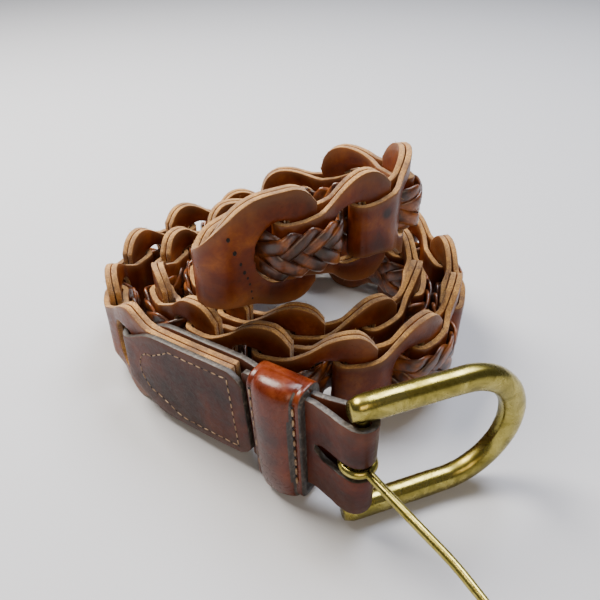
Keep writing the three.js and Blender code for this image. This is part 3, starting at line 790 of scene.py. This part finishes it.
def make_frame():
    """The cast bow: two arms that round into a bow, with the heel bar between their squared ends."""
    arm = FRAME_HEIGHT / 2 - FRAME_THICK / 2
    reach = FRAME_LENGTH - FRAME_THICK / 2
    bow = reach - arm * 0.95
    arm_end = -FRAME_THICK * 0.45
    spots = [(x, arm) for x in np.linspace(arm_end, bow, 14)[:-1]]
    for a in np.linspace(math.pi / 2, -math.pi / 2, 41):
        spots.append((bow + (reach - bow) * math.cos(a), arm * math.sin(a)))
    spots += [(x, -arm) for x in np.linspace(bow, arm_end, 14)[1:]]
    spots = np.array(spots)
    tangent = np.gradient(spots, axis=0)
    tangent /= np.linalg.norm(tangent, axis=1)[:, None]
    points = [((x, 0, z), (0, 1, 0), (t[1], 0, -t[0])) for (x, z), t in zip(spots, tangent)]
    near_end = np.minimum(np.arange(len(spots)), np.arange(len(spots))[::-1])

    def section(i, angle):
        squareness = 0.82
        grow = 1 - 0.28 * max(0, 1 - near_end[i] / 1.5) ** 2
        c, s = math.cos(angle), math.sin(angle)
        a = math.copysign(abs(c) ** squareness, c) * FRAME_DEEP / 2
        b = math.copysign(abs(s) ** squareness, s) * FRAME_THICK / 2
        dent = 1 + 0.012 * math.sin(i * 0.9 + 2 * angle) * math.sin(i * 0.37)
        return a * grow * dent, b * grow * dent

    bar = tube(points, 28, section)
    heel_points = [((0, 0, z), (1, 0, 0), (0, 1, 0)) for z in np.linspace(-arm, arm, 12)]
    heel = tube(heel_points, 20, lambda i, a: (HEEL_RADIUS * math.cos(a), HEEL_RADIUS * math.sin(a)))
    bm = turned_about_heel(join([bar, heel]), FRAME_HEADING)
    finish_piece(bm, "cast_bow", [BRASS], "frame", ["buckle_frame"])


def make_prong():
    """A drawn wire prong, slightly bent by use, with its eye round the heel bar."""
    eye = HEEL_RADIUS + EYE_CLEARANCE + PRONG_WIRE / 2
    ring = []
    for a in np.linspace(0, 2 * math.pi, 33):
        ring.append(((eye * math.cos(a), eye * math.sin(a), 0), (math.cos(a), math.sin(a), 0), (0, 0, 1)))
    radius = PRONG_WIRE / 2
    loop = tube(ring, 14, lambda i, a: (radius * math.cos(a), radius * math.sin(a)), True)
    table = np.array([(0.8 * eye / PRONG_LENGTH, 0), (0.35, 0.4), (0.7, 1.2), (1.0, 0.2)])
    shares = np.linspace(table[0, 0], 1, 60)
    sway = soft_steps(shares, table[:, 0], table[:, 1] * MM, 0.06)
    slim = np.interp(shares, [0, 0.3, 0.8, 0.97, 0.99, 1.0], [1.0, 0.95, 0.86, 0.74, 0.6, 0.3])
    wire_points = [((x * PRONG_LENGTH, y, 0), (0, 1, 0), (0, 0, 1)) for x, y in zip(shares, sway)]

    def wire_section(i, angle):
        return slim[i] * radius * math.cos(angle), slim[i] * radius * math.sin(angle)

    wire = tube(wire_points, 16, wire_section)
    bm = turned_about_heel(join([loop, wire]), PRONG_HEADING)
    finish_piece(bm, "wire_prong", [BRASS], "prong", ["buckle_prong"])


def make_keeper():
    """The padded keeper: a thick front that domes over its filling, and thin sides and back."""
    top = STRAP_HEIGHT / 2 + PIECE_CLEARANCE
    bottom = top + KEEPER_SAG
    loop = []
    turns = np.radians(np.arange(0, 91, 15))
    corners = ((KEEPER_OUT, top, 0), (-KEEPER_OUT, top, 90), (-KEEPER_OUT, -bottom, 180),
               (KEEPER_OUT, -bottom, 270))
    for corner_out, corner_up, start in corners:
        for turn in turns + math.radians(start):
            c, s = math.cos(turn), math.sin(turn)
            loop.append((corner_out - math.copysign(KEEPER_CORNER, corner_out) + KEEPER_CORNER * c,
                         corner_up - math.copysign(KEEPER_CORNER, corner_up) + KEEPER_CORNER * s, c, s))
    loop = np.array(loop + loop[:1])
    around = np.concatenate([[0], np.cumsum(np.linalg.norm(np.diff(loop[:, :2], axis=0), axis=1))])

    def loop_point(share):
        return (np.interp(share * around[-1], around, loop[:, k]) for k in range(4))

    def place(x, y, z):
        px, pz, c, s = loop_point(y + 0.5)
        edge = np.abs(2 * x)
        round_off = np.sqrt(np.clip(1 - np.clip((edge - 0.9) / 0.1, 0, 1) ** 2, 0, 1))
        height = (pz - (top - bottom) / 2) / ((top + bottom) / 2)
        flattened = 1 - 0.5 * np.clip(np.abs(height), 0, 1) ** 3
        front = np.clip(c, 0, 1) * flattened + 0.22 * np.abs(s) * (px > 0)
        pad = np.sqrt(np.clip(1 - (edge / 0.74) ** 2, 0, 1)) * front * KEEPER_DOME * 1.15
        out = KEEPER_WALL * (0.45 + 0.55 * round_off) + pad
        return np.stack([x * KEEPER_WIDTH, px + out * c, pz + out * s], axis=-1)

    outer = bmesh.new()
    bmesh.ops.create_grid(outer, x_segments=40, y_segments=KEEPER_STEPS, size=0.5)
    moved(outer, place)
    bmesh.ops.remove_doubles(outer, verts=outer.verts, dist=1e-6)
    inner = bmesh.new()
    bmesh.ops.create_grid(inner, x_segments=1, y_segments=KEEPER_STEPS, size=0.5)

    def place_inner(x, y, z):
        px, pz, c, s = loop_point(y + 0.5)
        return np.stack([x * KEEPER_WIDTH, px, pz], axis=-1)

    moved(inner, place_inner)
    bmesh.ops.remove_doubles(inner, verts=inner.verts, dist=1e-6)
    both = join([outer, inner])
    for side in (-1, 1):
        open_edges = [edge for edge in both.edges if edge.is_boundary]
        rims = [edge for edge in open_edges if all(vert.co.x * side > 0 for vert in edge.verts)]
        bmesh.ops.bridge_loops(both, edges=rims)
    both.normal_update()
    for face in both.faces:
        face.material_index = 1 if abs(face.normal.x) > 0.75 else 0
    moved(both, lambda x, y, z: on_belt(KEEPER_PLACE - x, y, z))
    finish_piece(both, "padded_keeper", [KEEPER_GRAIN, INKED_EDGE], "belt", ["keeper"])


def stitch_row(points, normals, length, width, gap):
    """Raised stitches along a line of points, each sunk at its ends, and the dark holes between."""
    points, normals = np.array(points), np.array(normals)
    along = np.concatenate([[0], np.cumsum(np.linalg.norm(np.diff(points, axis=0), axis=1))])
    count = int(along[-1] / (length + gap))
    stitches, holes = [], []
    for k in range(count):
        centre = (k + 0.5) * along[-1] / count
        spot = Vector([np.interp(centre, along, points[:, a]) for a in range(3)])
        ahead = Vector([np.interp(centre + 0.5 * MM, along, points[:, a]) for a in range(3)]) - spot
        normal = Vector([np.interp(centre, along, normals[:, a]) for a in range(3)]).normalized()
        ahead = (ahead - normal * ahead.dot(normal)).normalized()
        side = normal.cross(ahead)
        basis = Matrix((ahead, side, normal)).transposed().to_4x4()
        jitter = 0.1 * math.sin(k * 7.3)
        turn = Matrix.Rotation(0.12 * math.sin(k * 3.1), 4, "Z")
        size = Matrix.Diagonal((length / 2 * (1 + jitter), width / 2, width / 2.6, 1))
        stitches.append(Matrix.Translation(spot) @ basis @ turn @ size)
        hole_size = Matrix.Diagonal((0.55 * gap, width * 0.5, width * 0.22, 1))
        end = spot + ahead * (along[-1] / count / 2)
        holes.append(Matrix.Translation(end) @ basis @ hole_size)
    return stitches, holes


def make_stitches(name, lines, length, width, gap):
    """Joins the stitches of several lines, with thread and holes in their own materials."""
    bm = bmesh.new()
    for points, normals in lines:
        stitches, holes = stitch_row(points, normals, length, width, gap)
        for matrices, index in ((stitches, 0), (holes, 1)):
            for matrix in matrices:
                made = bmesh.ops.create_uvsphere(bm, u_segments=8, v_segments=6, radius=1.0, matrix=matrix)
                for face in {f for v in made["verts"] for f in v.link_faces}:
                    face.material_index = index
    finish_piece(bm, name, [THREAD, HOLE_DARK], "belt", ())


def belt_line(rows, out):
    """A line of (length, height) rows on the belt's outer face, with its outward normals."""
    rows = np.array(rows)
    steps = np.concatenate([[0], np.cumsum(np.hypot(*np.diff(rows, axis=0).T))])
    fine = np.linspace(0, steps[-1], 160)
    length = np.interp(fine, steps, rows[:, 0])
    height = np.interp(fine, steps, rows[:, 1])
    _, outward, _ = route_axes(length)
    return on_belt(length, np.full_like(length, out), height), outward


def make_all_stitches():
    """The stitches round the tab, and one row along each side of the keeper."""
    edge = STRAP_HEIGHT / 2 - STITCH_INSET
    near, far = TAB_STITCH_START, TAB_STITCH_END
    shoulder = far - 17 * MM
    outline = [(near, -edge), (near, edge), (shoulder, edge)]
    for a in np.linspace(math.pi / 2, -math.pi / 2, 15):
        outline.append((far - 8 * MM + 7 * MM * math.cos(a), (edge - 5 * MM) * math.sin(a)))
    outline += [(shoulder, -edge), (near, -edge)]
    make_stitches("tab_stitches", [belt_line(outline, CLASP + STRAP_PLY)], 2.0 * MM, 0.5 * MM, 0.85 * MM)
    keeper_front = KEEPER_OUT + KEEPER_WALL + 0.35 * MM
    rows = []
    for offset in (-0.4, 0.4):
        at = KEEPER_PLACE + offset * KEEPER_WIDTH
        rows.append(belt_line([(at, -15 * MM), (at, 15 * MM)], keeper_front))
    make_stitches("keeper_stitches", rows, 2.6 * MM, 0.8 * MM, 0.8 * MM)


def make_plate_holes():
    """The arc of stitch holes, its thread worn away, between the plate and its opening."""
    plate_start = STRAP_LENGTH + (LINK_COUNT + 1) * LINK_PITCH - OPENING_START
    holes = [(7.3, 8.2, 0.75), (5.9, 3.5, 0.8), (4.4, -0.6, 0.6), (3.4, -3.7, 0.7), (2.5, -5.9, 0.5),
             (1.9, -8.2, 0.45), (1.5, -10.9, 0.45), (1.3, -13.4, 0.4)]
    bm = bmesh.new()
    for since, height, radius in holes:
        at = plate_start + since * MM
        tangent, outward, up = (Vector(axis) for axis in route_axes(at))
        spot = Vector(on_belt(at, CLOSED * 0.6 + PLY, height * MM)[0])
        basis = Matrix((tangent, up, outward)).transposed().to_4x4()
        size = Matrix.Diagonal((radius * 0.75 * MM, radius * MM, 0.12 * MM, 1))
        bmesh.ops.create_uvsphere(bm, u_segments=12, v_segments=8, radius=1.0,
                                  matrix=Matrix.Translation(spot) @ basis @ size)
    finish_piece(bm, "plate_stitch_holes", [HOLE_DARK], "belt", ())


# Camera, floor and lights


def make_camera():
    data = bpy.data.cameras.new("photo camera")
    data.sensor_width = CAMERA_SENSOR
    data.lens = CAMERA_LENS
    data.clip_start = 0.01
    camera = bpy.data.objects.new("photo_camera", data)
    camera.location = SHIFT + Vector((0, 0, CAMERA_RISE))
    camera.rotation_euler = (CAMERA_PITCH, 0, 0)
    bpy.context.scene.collection.objects.link(camera)
    bpy.context.scene.camera = camera


def make_floor():
    bm = bmesh.new()
    bmesh.ops.create_grid(bm, x_segments=1, y_segments=1, size=3.0)
    mesh = bpy.data.meshes.new("floor")
    bm.to_mesh(mesh)
    bm.free()
    floor = bpy.data.objects.new("floor", mesh)
    bpy.context.scene.collection.objects.link(floor)
    mesh.materials.append(plain_material("pale studio floor", "b4b7bd", 0.85))


def make_light(name, spot, aim, size, watts, colour):
    data = bpy.data.lights.new(name, "AREA")
    data.size = size
    data.energy = watts
    data.color = linear(colour)[:3]
    light = bpy.data.objects.new(name, data)
    light.location = spot
    light.rotation_euler = (Vector(aim) - Vector(spot)).to_track_quat("-Z", "Y").to_euler()
    bpy.context.scene.collection.objects.link(light)


def make_lights():
    make_light("window", (-0.35, 0.25, 0.6), (0, 0, 0.02), 0.35, 15, "fff6ea")
    make_light("ceiling", (0.3, 0.35, 0.8), (0, 0, 0.02), 0.45, 12, "f4f6ff")
    make_light("front_fill", (0.1, -0.6, 0.45), (0, 0, 0.02), 0.4, 2.6, "ffe8cc")
    world = bpy.data.worlds.new("soft room")
    world.use_nodes = True
    world.node_tree.nodes["Background"].inputs["Color"].default_value = linear("dfe3ea")
    world.node_tree.nodes["Background"].inputs["Strength"].default_value = 0.16
    bpy.context.scene.world = world


make_camera()
for link_number in range(1, LINK_COUNT + 1):
    make_link(link_number)
make_fibres()
make_braid()
make_strap()
make_tip()
make_keeper()
make_frame()
make_prong()
make_all_stitches()
make_plate_holes()
make_floor()
make_lights()
